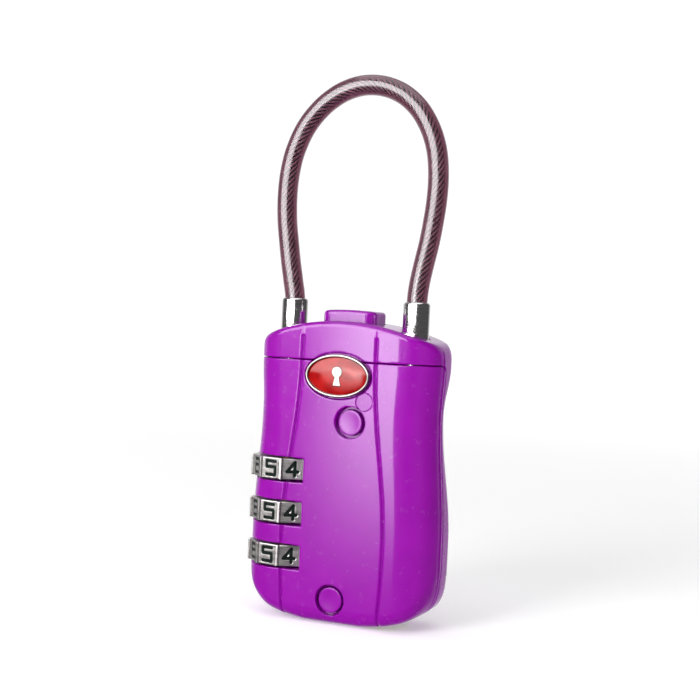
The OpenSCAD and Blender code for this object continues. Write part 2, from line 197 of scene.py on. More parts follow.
def rounded(points, radius, steps=4):
    """A profile with all but its end points rounded; points are (radius, z)."""
    out = [points[0]]
    for before, corner, after in zip(points, points[1:], points[2:]):
        before, corner, after = (np.array(p, float) for p in (before, corner, after))
        r = min(radius, np.linalg.norm(before - corner) / 2.2, np.linalg.norm(after - corner) / 2.2)
        a = corner + (before - corner) / np.linalg.norm(before - corner) * r
        b = corner + (after - corner) / np.linalg.norm(after - corner) * r
        for i in range(steps + 1):
            t = i / steps
            out.append(tuple((1 - t) ** 2 * a + 2 * t * (1 - t) * corner + t ** 2 * b))
    out.append(points[-1])
    return out


# -------------------- solids from distance fields

def meet(a, b, r=0.0):
    """Where both solids are, with the edge between them rounded by r."""
    if np.all(r == 0):
        return np.maximum(a, b)
    return np.minimum(np.maximum(a, b), -r) + np.hypot(np.maximum(a + r, 0), np.maximum(b + r, 0))


def join(a, b, r=0.0):
    return -meet(-a, -b, r)


def cut(a, b, r=0.0):
    return meet(a, -b, r)


def block(p, low, high):
    middle, half = (np.array(low) + high) / 2, (np.array(high) - low) / 2
    q = np.abs(p - middle) - half
    outside = np.linalg.norm(np.maximum(q, 0), axis=1)
    return outside + np.minimum(q.max(axis=1), 0)


def rounded_rect(p, half, r):
    """Distance in plan to a rectangle round the origin with rounded corners."""
    q = np.abs(p[:, :2]) - (half - r)
    return np.hypot(np.maximum(q[:, 0], 0), np.maximum(q[:, 1], 0)) + np.minimum(q.max(axis=1), 0) - r


def rod(p, axis, centre, low, high, radius):
    """Cylinder along an axis (0, 1 or 2); centre is its place on the other two axes."""
    others = [i for i in range(3) if i != axis]
    radial = np.hypot(p[:, others[0]] - centre[0], p[:, others[1]] - centre[1]) - radius
    along = np.maximum(low - p[:, axis], p[:, axis] - high)
    return np.maximum(radial, along)


def surface_mesh(field, low, high, step, passes=4):
    """Closed quad mesh of the zero surface of a distance field, by surface nets, with exact normals.

    Each pass then moves the points along the field's gradient, closer to the true surface.
    """
    low, high = np.array(low, float) - 1.5 * step, np.array(high, float) + 1.5 * step
    count = np.ceil((high - low) / step).astype(int) + 1
    axes = [low[i] + step * np.arange(count[i]) for i in range(3)]
    values = np.empty(count, np.float32)
    yz = np.stack(np.meshgrid(axes[1], axes[2], indexing="ij"), -1).reshape(-1, 2)
    for i, x in enumerate(axes[0]):
        points = np.concatenate([np.full((len(yz), 1), x), yz], axis=1)
        values[i] = field(points).reshape(count[1], count[2])
    inside = values < 0
    cells = tuple(c - 1 for c in count)
    total = np.zeros(cells + (3,), np.float32)
    hits = np.zeros(cells, np.float32)
    corners = [(a, b, c) for a in (0, 1) for b in (0, 1) for c in (0, 1)]
    part = lambda grid, o: grid[o[0]:o[0] + cells[0], o[1]:o[1] + cells[1], o[2]:o[2] + cells[2]]
    for a in corners:
        for axis in range(3):
            if a[axis] == 1:
                continue
            b = tuple(1 if i == axis else a[i] for i in range(3))
            va, vb = part(values, a), part(values, b)
            crossing = (va < 0) != (vb < 0)
            t = np.where(crossing, va / np.where(crossing, va - vb, 1), 0)
            for i in range(3):
                total[..., i] += np.where(crossing, a[i] + (t if i == axis else 0), 0)
            hits += crossing
    used = hits > 0
    index = np.full(cells, -1, np.int64)
    index[used] = np.arange(used.sum())
    where = np.argwhere(used)
    points = low + step * (where + total[used] / hits[used][:, None])
    faces = []
    for axis in range(3):
        u, v = [(1, 2), (2, 0), (0, 1)][axis]
        shift = [slice(None)] * 3
        shift[axis] = slice(0, -1)
        ahead = [slice(None)] * 3
        ahead[axis] = slice(1, None)
        change = inside[tuple(shift)] != inside[tuple(ahead)]
        edges = np.argwhere(change)
        ok = (edges[:, u] > 0) & (edges[:, v] > 0) & (edges[:, u] < cells[u]) & (edges[:, v] < cells[v])
        edges = edges[ok]
        forward = inside[tuple(edges.T)]
        quad = []
        for du, dv in ((0, 0), (-1, 0), (-1, -1), (0, -1)):
            c = edges.copy()
            c[:, u] += du
            c[:, v] += dv
            quad.append(index[tuple(c.T)])
        quad = np.stack(quad, 1)
        quad[~forward] = quad[~forward][:, ::-1]
        faces.append(quad)
    faces = np.concatenate(faces)
    h = 0.01
    for turn in range(passes + 1):
        gradient = np.stack([field(points + d) - field(points - d) for d in np.eye(3) * h], 1) / (2 * h)
        length = np.maximum(np.linalg.norm(gradient, axis=1), 0.2)
        normals = gradient / length[:, None]
        if turn < passes:
            move = np.clip(field(points), -0.6 * step, 0.6 * step) / length
            points = points - move[:, None] * normals
    return points, faces, normals


def field_piece(name, field, low, high, step, attribute=None):
    """Mesh object of a distance field, shaded with the field's own normals."""
    points, faces, normals = surface_mesh(field, low, high, step)
    mesh = bpy.data.meshes.new(name)
    mesh.from_pydata((points * MM).tolist(), [], faces.tolist())
    mesh.polygons.foreach_set("use_smooth", [True] * len(mesh.polygons))
    length = np.maximum(np.linalg.norm(normals, axis=1), 1e-6)[:, None]
    mesh.normals_split_custom_set_from_vertices((normals / length).tolist())
    if attribute:
        layer = mesh.attributes.new(attribute[0], "FLOAT", "POINT")
        layer.data.foreach_set("value", attribute[1](points).astype(np.float32))
    piece = bpy.data.objects.new(name, mesh)
    bpy.context.scene.collection.objects.link(piece)
    return piece


# -------------------- shape of the body

def ease(t):
    return (1 - np.cos(np.pi * np.clip(t, 0, 1))) / 2


def side_half(z):
    low = HIPS_HALF + (WAIST_HALF - HIPS_HALF) * ease((z - HIPS_Z) / (WAIST_Z - HIPS_Z))
    high = WAIST_HALF + (SHOULDER_HALF - WAIST_HALF) * ease((z - WAIST_Z) / (SEAM_Z - WAIST_Z))
    return np.where(z < WAIST_Z, low, high)


def arch_z(x):
    return CROWN_Z - x * x / (2 * CROWN_R)


def outline_field(x, z):
    """Signed distance, roughly, to the outline of the front view."""
    x = np.abs(x)
    spare = 0.5                          # the section sets the width, so this stands outside it
    side = x - side_half(z) - spare
    slope = np.sqrt(1 + (x / CROWN_R) ** 2)
    top = (z - arch_z(x)) / slope
    upper = meet(side, top, CORNER_R + spare)
    # rounded bottom: a superellipse, its distance estimated from its gradient
    u = np.clip(x / (side_half(np.full_like(z, TOE_Z)) + 0.3), 0, 1.3)
    v = np.clip((TOE_Z - z - FOOT_CUT) / TOE_Z, 0, 1.3)
    value = u ** TOE_POWER + v ** TOE_POWER
    gradient = np.hypot(TOE_POWER * u ** (TOE_POWER - 1) / HIPS_HALF,
                        TOE_POWER * v ** (TOE_POWER - 1) / TOE_Z)
    toe = (value - 1) / np.maximum(gradient, 0.05)
    return np.maximum(np.where(z < TOE_Z, toe, upper), -z)


def plan_field(x, y, z):
    """Signed distance, roughly, to the section of the body at that height: full round in front,
    squarer behind, where its corners are softest at the waist."""
    half = side_half(z)
    front = np.hypot(np.maximum(np.abs(x) - half + HALF_T, 0), y) - HALF_T
    to_waist = ease((z - HIPS_Z) / (WAIST_Z - HIPS_Z))
    to_seam = ease((z - WAIST_Z) / (SEAM_Z - WAIST_Z))
    r = 2.6 + 2.5 * to_waist - 2.0 * to_seam
    across, deep = np.abs(x) - half + r, y - HALF_T + r
    rear = np.hypot(np.maximum(across, 0), np.maximum(deep, 0)) + np.minimum(np.maximum(across, deep), 0) - r
    return np.where(y < 0, front, rear)


def crease_x(z):
    """How far from the middle the two creases lie: widest at the hips."""
    widest_z, widest = 12, 7.9
    low = widest - 0.6 * ((widest_z - np.minimum(z, widest_z)) / widest_z) ** 2
    rise = ease((z - widest_z) / (SEAM_Z - widest_z))
    return np.where(z < widest_z, low, widest - 2.2 * rise)


def room_field(p, gap=0.0):
    """The room of the front cover: below the seam and in front of the parting plane."""
    corner_r = 1.2
    y, z = p[:, 1] - PART_Y - gap, p[:, 2] - SEAM_Z - gap
    return meet(y, z, corner_r + gap)


def envelope_field(p):
    x, y, z = p.T
    plan = plan_field(x, y, z)
    # a gentle crown on the panel between the creases; the panels beside it fall away
    edge = crease_x(z)
    front = y < 0
    dx = np.abs(x) - edge
    crown = 0.08 * (x / edge) ** 2 * (1 - ease((dx + 0.2) / 0.4)) + 0.05 * np.clip(dx, 0, 4)
    plan = plan + np.where(front, crown, 0)
    # the creases, which end just under the cap's top edge
    deep, wide, margin = 0.34, 0.19, 1.5
    fade = ease((arch_z(edge) - margin - z) / 0.5)
    groove = deep * np.exp(-(dx / wide) ** 2)
    plan = plan + np.where(front, groove * fade, 0)
    # soft lower edge, softest in front
    low = ease((10 - z) / 8)
    fillet = 0.75 + low * (1.9 - 1.1 * ease((y + 2) / 4))
    return meet(outline_field(x, z), plan, fillet)


def hollow_field(p):
    """Everything cut out of both castings."""
    depth = HALF_T - WALL
    boss_r, past = 2.6, 9
    # room for the stem, the latch and the fence, round the boss of the upper rivet
    pocket = join(block(p, [-3.4, -depth, 17], [6.4, depth, 33.5]),
                  block(p, [-4.6, -depth, 33], [8.7, depth, 37]))
    pocket = cut(pocket, rod(p, 1, RIVETS[0][:2], -past, past, boss_r))
    latch_spring = block(p, [-7.1, -1.5, 33.2], [-4, 1.5, 36])
    key_cam = block(p, [2, -depth, 16.9], [11.4, depth, 19.4])
    fence_end = block(p, [-3.5, -2.2, 7.2], [0.8, 2, 18])
    sleeves = rod(p, 2, (DIAL_X, 0), DIAL_Z[2] - 2.6, DIAL_Z[0] + 5.4, 3.2)
    spindle = rod(p, 2, (DIAL_X, 0), 3.2, 32, 1.27)
    reset_pin = rod(p, 2, (DIAL_X, 0), -2, 3.4, 0.9)
    key_cylinder = rod(p, 2, (KEY_X, 0), -2, 17, 3.5)
    stud = rod(p, 2, (LOOP_X, 0), 20.5, 39.6, 1.7)
    free_ferrule = rod(p, 2, (LOOP_X, 0), 39.4, 50, FERRULE_R + RUN)
    fixed_ferrule = rod(p, 2, (FIXED_X, 0), 33.4, 50, FERRULE_R + RUN)
    anchor_clip = block(p, [-12.1, -2.5, 36.15], [-6.7, 2.5, 37.05])
    stem = block(p, [-1.55, -0.95, 36.5], [1.55, 0.95, 40])
    dials = [rod(p, 2, (DIAL_X, 0), z - WINDOW_HALF, z + WINDOW_HALF, DIAL_ROOM_R) for z in DIAL_Z]
    return np.minimum.reduce([pocket, latch_spring, key_cam, fence_end, sleeves, spindle, reset_pin,
                              key_cylinder, stud, free_ferrule, fixed_ferrule, anchor_clip, stem] + dials)


def button_plan(p, grow=0.0):
    half = (BUTTON_HIGH - BUTTON_LOW)[:2] / 2 + grow
    return rounded_rect(p, half, BUTTON_CORNER_R + grow)


def badge_field(p, grow):
    """Signed distance, roughly, to the upright oval prism of the badge."""
    a, b = BADGE[1] + grow, BADGE[2] + grow
    x, z = p[:, 0], p[:, 2] - BADGE[0]
    k = np.hypot(x / a, z / b)
    k2 = np.hypot(x / a ** 2, z / b ** 2)
    return k * (k - 1) / np.maximum(k2, 0.05)


def window_field(p):
    """Openings in front of the dials."""
    right, back = -4.85, -3.2
    boxes = [block(p, [-17, -8, z - WINDOW_HALF], [right, back, z + WINDOW_HALF]) for z in DIAL_Z]
    return np.minimum.reduce(boxes)


def casting_field(p):
    """The closed body with its hollows cut and their rims rounded."""
    rim_r = 0.15
    solid = envelope_field(p)
    solid = cut(solid, hollow_field(p), rim_r)
    solid = cut(solid, np.maximum(button_plan(p, 0.1), BUTTON_FLOOR - p[:, 2]), rim_r)
    return cut(solid, np.maximum(badge_field(p, 0.22), p[:, 1] - BADGE_FLOOR), 0.2)


def cover_field(p):
    past = 9
    solid = meet(casting_field(p), room_field(p), SEAM_EDGE_R)
    solid = cut(solid, window_field(p), 0.22)
    for x, z, radius in RIVETS:
        solid = cut(solid, rod(p, 1, (x, z), -past, RECESS_T - HALF_T, radius), 0.12)
        solid = cut(solid, rod(p, 1, (x, z), -past, past, RIVET_R + RUN))
    x, z, radius = DIMPLE
    return cut(solid, rod(p, 1, (x, z), -past, DIMPLE_T - HALF_T, radius), 0.08)


def housing_field(p):
    solid = cut(casting_field(p), room_field(p, SEAM_GAP), SEAM_EDGE_R)
    for x, z, _ in RIVETS:
        solid = cut(solid, rod(p, 1, (x, z), -2, 4.3, RIVET_R + RUN))
    return solid


# -------------------- materials

def new_material(name):
    material = bpy.data.materials.new(name)
    material.use_nodes = True
    nodes, links = material.node_tree.nodes, material.node_tree.links
    shader = next(n for n in nodes if n.type == "BSDF_PRINCIPLED")
    return material, nodes, links, shader


def noise(nodes, links, scale, detail=2.0, stretch=(1, 1, 1)):
    coordinates = nodes.new("ShaderNodeTexCoord")
    mapping = nodes.new("ShaderNodeMapping")
    mapping.inputs["Scale"].default_value = stretch
    texture = nodes.new("ShaderNodeTexNoise")
    texture.inputs["Scale"].default_value = scale
    texture.inputs["Detail"].default_value = detail
    links.new(coordinates.outputs["Object"], mapping.inputs["Vector"])
    links.new(mapping.outputs["Vector"], texture.inputs["Vector"])
    return texture


def span(nodes, links, source, low, high):
    """Maps 0.3 to 0.7 of a texture to low to high."""
    remap = nodes.new("ShaderNodeMapRange")
    remap.inputs["From Min"].default_value, remap.inputs["From Max"].default_value = 0.3, 0.7
    remap.inputs["To Min"].default_value, remap.inputs["To Max"].default_value = low, high
    links.new(source, remap.inputs["Value"])
    return remap.outputs["Result"]


def blend_colour(nodes, links, factor, a, b):
    mix = nodes.new("ShaderNodeMix")
    mix.data_type = "RGBA"
    mix.inputs[6].default_value = (*a, 1)
    mix.inputs[7].default_value = (*b, 1)
    links.new(factor, mix.inputs[0])
    return mix.outputs[2]


def add_bump(nodes, links, shader, height, strength, distance):
    bump = nodes.new("ShaderNodeBump")
    bump.inputs["Strength"].default_value = strength
    bump.inputs["Distance"].default_value = distance
    links.new(height, bump.inputs["Height"])
    links.new(bump.outputs["Normal"], shader.inputs["Normal"])


def enamel():
    """Glossy purple enamel: thin orange peel, faint cloudiness."""
    material, nodes, links, shader = new_material("purple_enamel")
    cloud = noise(nodes, links, 260, 3)
    colour = blend_colour(nodes, links, span(nodes, links, cloud.outputs["Fac"], 0, 1),
                          (0.235, 0.0, 0.29), (0.26, 0.0, 0.32))
    links.new(colour, shader.inputs["Base Color"])
    gloss = noise(nodes, links, 900)
    links.new(span(nodes, links, gloss.outputs["Fac"], 0.2, 0.28), shader.inputs["Roughness"])
    shader.inputs["Coat Weight"].default_value = 0.4
    shader.inputs["Coat Roughness"].default_value = 0.05
    shader.inputs["Specular IOR Level"].default_value = 0.25
    add_bump(nodes, links, shader, noise(nodes, links, 700, 1).outputs["Fac"], 0.05, 0.00004)
    return material


def chrome():
    """Chrome plate with faint hairlines."""
    material, nodes, links, shader = new_material("chrome")
    shader.inputs["Metallic"].default_value = 1.0
    hair = noise(nodes, links, 900, 3, (1, 1, 6))
    colour = blend_colour(nodes, links, span(nodes, links, hair.outputs["Fac"], 0, 1),
                          (0.72, 0.70, 0.70), (0.86, 0.84, 0.84))
    links.new(colour, shader.inputs["Base Color"])
    links.new(span(nodes, links, hair.outputs["Fac"], 0.10, 0.2), shader.inputs["Roughness"])
    add_bump(nodes, links, shader, noise(nodes, links, 350, 2).outputs["Fac"], 0.12, 0.00005)
    return material


def dial_metal():
    """Worn chrome; green-black paint in the engraved digits, and painted shade in the corners beside the
    ridges, where the mark attribute says.
    """
    material, nodes, links, shader = new_material("dial_metal")
    paint = nodes.new("ShaderNodeAttribute")
    paint.attribute_name = "digit_paint_and_corner_shade"
    mask = nodes.new("ShaderNodeMapRange")
    mask.inputs["From Min"].default_value, mask.inputs["From Max"].default_value = -0.03, 0.02
    mask.inputs["To Min"].default_value, mask.inputs["To Max"].default_value = 1, 0
    links.new(paint.outputs["Fac"], mask.inputs["Value"])
    metal = noise(nodes, links, 800, 3, (1, 1, 5))
    base = blend_colour(nodes, links, span(nodes, links, metal.outputs["Fac"], 0, 1),
                        (0.44, 0.42, 0.41), (0.64, 0.61, 0.60))
    mix = nodes.new("ShaderNodeMix")
    mix.data_type = "RGBA"
    links.new(mask.outputs["Result"], mix.inputs[0])
    links.new(base, mix.inputs[6])
    # one near-black colour for the digits' paint and for the painted shade beside the ridges
    mix.inputs[7].default_value = (0.003, 0.008, 0.006, 1)
    shader.inputs["Specular IOR Level"].default_value = 0.2
    links.new(mix.outputs[2], shader.inputs["Base Color"])
    metallic = nodes.new("ShaderNodeMath")
    metallic.operation = "SUBTRACT"
    metallic.inputs[0].default_value = 1.0
    links.new(mask.outputs["Result"], metallic.inputs[1])
    links.new(metallic.outputs["Value"], shader.inputs["Metallic"])
    links.new(span(nodes, links, metal.outputs["Fac"], 0.3, 0.44), shader.inputs["Roughness"])
    add_bump(nodes, links, shader, noise(nodes, links, 420, 3).outputs["Fac"], 0.35, 0.00008)
    return material


def plain_metal(name, dark, light, rough, stretch=(1, 1, 1)):
    material, nodes, links, shader = new_material(name)
    shader.inputs["Metallic"].default_value = 1.0
    grain = noise(nodes, links, 700, 4, stretch)
    links.new(blend_colour(nodes, links, span(nodes, links, grain.outputs["Fac"], 0, 1), dark, light),
              shader.inputs["Base Color"])
    links.new(span(nodes, links, grain.outputs["Fac"], *rough), shader.inputs["Roughness"])
    add_bump(nodes, links, shader, grain.outputs["Fac"], 0.2, 0.00003)
    return material


def rope_steel():
    """Bright steel wires, with painted shade darkening the grooves between them."""
    material, nodes, links, shader = new_material("steel_rope")
    shader.inputs["Metallic"].default_value = 1.0
    lift = nodes.new("ShaderNodeAttribute")
    lift.attribute_name = "lift"
    # painted shade: darker on the inner side of each wire, in the grooves between the wires
    groove = nodes.new("ShaderNodeMapRange")
    groove.interpolation_type = "SMOOTHSTEP"
    groove.inputs["From Min"].default_value, groove.inputs["From Max"].default_value = 0.35, 0.95
    links.new(lift.outputs["Fac"], groove.inputs["Value"])
    groove_shade_and_grain = nodes.new("ShaderNodeMath")
    groove_shade_and_grain.operation = "MULTIPLY"
    links.new(groove.outputs["Result"], groove_shade_and_grain.inputs[0])
    grain = noise(nodes, links, 900, 3)
    links.new(span(nodes, links, grain.outputs["Fac"], 0.7, 1.0), groove_shade_and_grain.inputs[1])
    # the dark colour is the painted shade in the grooves, the light one the bare wire, with random grain
    links.new(blend_colour(nodes, links, groove_shade_and_grain.outputs["Value"], (0.03, 0.025, 0.025), (0.97, 0.96, 0.95)),
              shader.inputs["Base Color"])
    links.new(span(nodes, links, grain.outputs["Fac"], 0.25, 0.35), shader.inputs["Roughness"])
    return material


def red_enamel():
    material, nodes, links, shader = new_material("red_enamel")
    depth = noise(nodes, links, 500, 2)
    links.new(blend_colour(nodes, links, span(nodes, links, depth.outputs["Fac"], 0, 1),
                           (0.24, 0.001, 0.002), (0.42, 0.003, 0.003)), shader.inputs["Base Color"])
    links.new(span(nodes, links, depth.outputs["Fac"], 0.10, 0.18), shader.inputs["Roughness"])
    shader.inputs["Specular IOR Level"].default_value = 0.3
    return material


def clear_vinyl(name, dark, light, coat):
    """Clear vinyl that the rope shows through; light takes up its tint at each surface."""
    material, nodes, links, shader = new_material(name)
    haze = noise(nodes, links, 300, 2)
    links.new(blend_colour(nodes, links, span(nodes, links, haze.outputs["Fac"], 0, 1), dark, light),
              shader.inputs["Base Color"])
    links.new(span(nodes, links, haze.outputs["Fac"], 0.03, 0.08), shader.inputs["Roughness"])
    shader.inputs["Transmission Weight"].default_value = 1.0
    shader.inputs["IOR"].default_value = 1.35
    shader.inputs["Coat Weight"].default_value = coat
    shader.inputs["Coat Roughness"].default_value = 0.3
    shader.inputs["Coat IOR"].default_value = 1.6
    shader.inputs["Specular IOR Level"].default_value = 0.3
    return material


MATERIALS = {
    "enamel": enamel(),
    "chrome": chrome(),
    "dial": dial_metal(),
    "silver": plain_metal("badge_silver", (0.24, 0.23, 0.21), (0.36, 0.35, 0.32), (0.25, 0.4)),
    "red": red_enamel(),
    "vinyl": clear_vinyl("clear_vinyl", (0.14, 0.045, 0.075), (0.19, 0.068, 0.105), 0.9),
    "vinyl_bore": clear_vinyl("clear_vinyl_bore", (0.90, 0.86, 0.88), (0.98, 0.95, 0.96), 0.0),
    "rope": rope_steel(),
    "spring": plain_metal("spring_steel", (0.30, 0.31, 0.33), (0.50, 0.51, 0.53), (0.25, 0.4), (1, 1, 5)),
    "steel": plain_metal("plain_steel", (0.38, 0.38, 0.40), (0.58, 0.58, 0.60), (0.28, 0.45), (5, 1, 1)),
    "brass": plain_metal("brass", (0.56, 0.38, 0.13), (0.76, 0.56, 0.24), (0.2, 0.35), (1, 1, 6)),
}


# -------------------- the cable

# route of the cable from the fixed to the free ferrule, x and z in millimetres
CABLE_ROUTE = [
    (-9.75, 43.26), (-9.8, 46.7), (-10.25, 49.3), (-10.75, 52), (-11.25, 55.2), (-11.65, 58.2),
    (-11.8, 61.3), (-11.65, 64.5), (-11.15, 67.4), (-10.45, 69.5), (-9.4, 71.7), (-7.85, 73.8),
    (-5.8, 75.7), (-3.2, 77.2), (-0.25, 77.95), (2.9, 77.75), (5.85, 76.6), (8.25, 74.65),
    (9.95, 72.25), (11.05, 69.75), (11.65, 67.2), (11.87, 64.2), (11.77, 61.3), (11.45, 58.5),
    (10.95, 55.3), (10.2, 51.8), (9.7, 49.1), (9.5, 46.7), (9.5, 43.26),
]


SHEATH_SIDES = 28
BORE_R, ROPE_R = 1.07, 1.02              # of the sheath's bore and of the rope in it
STRANDS, STRAND_PITCH = 9, 8


def smooth_route(points, per_span):
    """A smooth curve through the route's points."""
    p = np.array([(x, 0, z) for x, z in points], float)
    p = np.concatenate([[2 * p[0] - p[1]], p, [2 * p[-1] - p[-2]]])
    out = []
    for i in range(len(p) - 3):
        for t in np.arange(per_span) / per_span:
            w = np.array([-t + 2 * t ** 2 - t ** 3, 2 - 5 * t ** 2 + 3 * t ** 3,
                          t + 4 * t ** 2 - 3 * t ** 3, t ** 3 - t ** 2]) / 2
            out.append(w @ p[i:i + 4])
    out.append(p[-2])
    return np.array(out)


def frames(path):
    """The two axes square to a path in the XZ plane, at each of its points."""
    tangent = np.gradient(path, axis=0)
    tangent /= np.linalg.norm(tangent, axis=1)[:, None]
    side = np.tile([0.0, 1.0, 0.0], (len(path), 1))
    return side, np.cross(tangent, side)


def wall_faces(sides, rings, base=0):
    """Quads between rings of points, the first ring's points starting at base."""
    faces = []
    for i in range(rings - 1):
        for k in range(sides):
            a, k2 = base + i * sides, (k + 1) % sides
            faces.append((a + k, a + k2, a + sides + k2, a + sides + k))
    return faces


def end_faces(sides, rings, base=0):
    """The two faces that close such a wall."""
    last = base + (rings - 1) * sides
    return [tuple(base + k for k in range(sides))[::-1], tuple(last + k for k in range(sides))]


def tube(name, path, radius, bore, sides):
    """Hollow round tube along a path; its outer wall's faces come first, then its bore's."""
    u, v = frames(path)
    angle = 2 * np.pi * np.arange(sides) / sides
    n = len(path)
    verts = [path[i] + r * (math.cos(a) * u[i] + math.sin(a) * v[i])
             for r in (radius, bore) for i in range(n) for a in angle]
    base = n * sides
    faces = wall_faces(sides, n) + [f[::-1] for f in wall_faces(sides, n, base)]
    for i in (0, n - 1):
        for k in range(sides):
            k2 = (k + 1) % sides
            a = i * sides
            f = (a + k, base + a + k, base + a + k2, a + k2)
            faces.append(f if i == 0 else f[::-1])
    piece = link(name, verts, faces)
    sharpen(piece, 50)
    return piece


def strand_rope(name, path, rope_r, strands, pitch):
    """Twisted strands round a core, as one mesh; "lift" is how far out on its strand a point lies."""
    u, v = frames(path)
    length = np.concatenate([[0], np.cumsum(np.linalg.norm(np.diff(path, axis=0), axis=1))])
    wire_r = rope_r * math.sin(math.pi / strands) / (1 + math.sin(math.pi / strands))
    lay_r = rope_r - wire_r
    sides = 8
    verts, faces, lift = [], [], []
    for s in range(strands + 1):
        if s < strands:
            turn = 2 * np.pi * (length / pitch + s / strands)
            line = path + lay_r * (np.cos(turn)[:, None] * u + np.sin(turn)[:, None] * v)
            r = wire_r
        else:
            line, r = path, lay_r - wire_r * 0.6
        base = len(verts)
        for i in range(len(line)):
            for k in range(sides):
                a = 2 * math.pi * k / sides
                verts.append(line[i] + r * (math.cos(a) * u[i] + math.sin(a) * v[i]))
                lift.append((np.linalg.norm(verts[-1] - path[i]) - lay_r) / wire_r)
        faces += wall_faces(sides, len(line), base) + end_faces(sides, len(line), base)
    piece = link(name, verts, faces)
    layer = piece.data.attributes.new("lift", "FLOAT", "POINT")
    layer.data.foreach_set("value", np.array(lift, np.float32))
    sharpen(piece, 60)
    return piece


def make_cable():
    route = smooth_route(CABLE_ROUTE, 10)
    sheath = tube("cable_sheath_skin", route, SHEATH_R, BORE_R, SHEATH_SIDES)
    rope = strand_rope("cable_rope", route, ROPE_R, STRANDS, STRAND_PITCH)
    finish_piece(sheath, None, MATERIALS["vinyl"], ["cable_sheath"])
    finish_piece(rope, None, MATERIALS["rope"], ["cable_core"])
    sheath.data.materials.append(MATERIALS["vinyl_bore"])
    outer_faces = (len(route) - 1) * SHEATH_SIDES
    for face in sheath.data.polygons[outer_faces:2 * outer_faces]:
        face.material_index = 1
    sheath.visible_shadow = False        # clear: the rope inside is lit straight through it
    for piece in (sheath, rope):
        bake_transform(piece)


make_cable()


# -------------------- the castings and the button

def make_castings():
    cover = field_piece("front_cover_skin", cover_field, COVER_LOW, COVER_HIGH, 0.18)
    finish_piece(cover, "root", MATERIALS["enamel"], ["front_cover"])
    housing = field_piece("rear_housing_skin", housing_field, REAR_LOW, REAR_HIGH, 0.22)
    finish_piece(housing, "root", MATERIALS["enamel"], ["rear_housing"])


def make_button():
    """The button with its bores for the spring and the stem."""
    def field(p):
        crown = BUTTON_HIGH[2] - 0.012 * p[:, 0] ** 2
        solid = meet(button_plan(p), p[:, 2] - crown, BUTTON_EDGE_R)
        solid = np.maximum(solid, BUTTON_LOW[2] - p[:, 2])
        solid = cut(solid, rod(p, 2, (0, 0), BUTTON_LOW[2] - 1, 43, 2.35))
        return cut(solid, block(p, [-1.42, -0.82, 42], [1.42, 0.82, 44.05]))
    button = field_piece("push_button_skin", field, BUTTON_LOW, BUTTON_HIGH, 0.12)
    finish_piece(button, "button", MATERIALS["enamel"], ["push_button"])


def make_rivets():
    """Rivets with a shallow dish in the head."""
    for name, (x, z, _) in zip(("upper_rivet", "lower_rivet"), RIVETS):
        front, back = node_box(name)[0][1], node_box(name)[1][1]
        dish = [(0.3 * i, -front - 0.05 * (1 - (i / 5) ** 2)) for i in range(6)]
        profile = dish + rounded([(1.5, -front), (RIVET_R, -front), (RIVET_R, -back), (0, -back)], 0.14)[1:]
        piece = lathe(name + "_skin", profile, 56)
        piece.data.transform(Matrix.Rotation(math.radians(90), 4, "X"))
        piece.data.transform(Matrix.Translation((x * MM, 0, z * MM)))
        finish_piece(piece, "root", MATERIALS["enamel"], [name])


def make_ferrules():
    """Ferrules with a socket for the cable; the fixed one has a neck for its anchor clip."""
    for node, body, x, low in (("fixed_ferrule", "root", FIXED_X, FERRULE_LOW[2]),
                               ("free_ferrule", "free_end", LOOP_X, 39.7)):
        top, wide, socket_r = FERRULE_HIGH[2], FERRULE_R, 1.5
        neck_r, neck_low, neck_high = 1.2, 36.1, 37.1
        profile = [(0, low), (wide, low)]
        if node == "fixed_ferrule":
            profile += [(wide, neck_low), (neck_r, neck_low), (neck_r, neck_high), (wide, neck_high)]
        profile += [(wide, top - 0.28), (wide - 0.2, top)]
        profile += [(socket_r, top), (socket_r, SOCKET_Z), (0, SOCKET_Z)]
        piece = lathe(node + "_skin", rounded(profile, 0.12, 3), 72, x)
        finish_piece(piece, body, MATERIALS["chrome"], [node])


make_castings()
make_button()
make_rivets()
make_ferrules()


# -------------------- the badge

OVAL_SIDES = 96


def oval_rings(rings):
    """Points of oval rings, each given as how far it stands inside the badge's edge and its y."""
    verts = []
    for inset, y in rings:
        for k in range(OVAL_SIDES):
            a = 2 * math.pi * k / OVAL_SIDES
            verts.append(((BADGE[1] - inset) * math.cos(a), y, BADGE[0] + (BADGE[2] - inset) * math.sin(a)))
    return verts


def make_rim():
    """A closed ring with a rounded front."""
    rings = [(0.44, -5.02), (0.44, -5.6), (0.4, -5.76), (0.3, -5.84), (0.2, -5.85), (0.09, -5.8),
             (0.02, -5.68), (0, -5.5), (0, -5.02)]
    n, last = OVAL_SIDES, (len(rings) - 1) * OVAL_SIDES
    back = [(last + k, last + (k + 1) % n, (k + 1) % n, k) for k in range(n)]
    rim = link("badge_rim", oval_rings(rings), wall_faces(n, len(rings)) + back)
    sharpen(rim)
    finish_piece(rim, "root", MATERIALS["silver"], ["badge_bezel"])


def make_enamel():
    """A low dome inside the rim."""
    inset, back, front, rise = 0.45, -5.02, -5.48, 0.22
    rings = [(inset, back), (inset, front)]
    for t in np.linspace(0.1, 1, 10):
        rings.append((inset + 2.58 * t, front - rise * math.sin(math.pi / 2 * t) ** 0.8))
    faces = wall_faces(OVAL_SIDES, len(rings)) + end_faces(OVAL_SIDES, len(rings))
    dome = link("badge_enamel_dome", oval_rings(rings), faces)
    sharpen(dome)
    finish_piece(dome, "root", MATERIALS["red"], ["badge_enamel"])


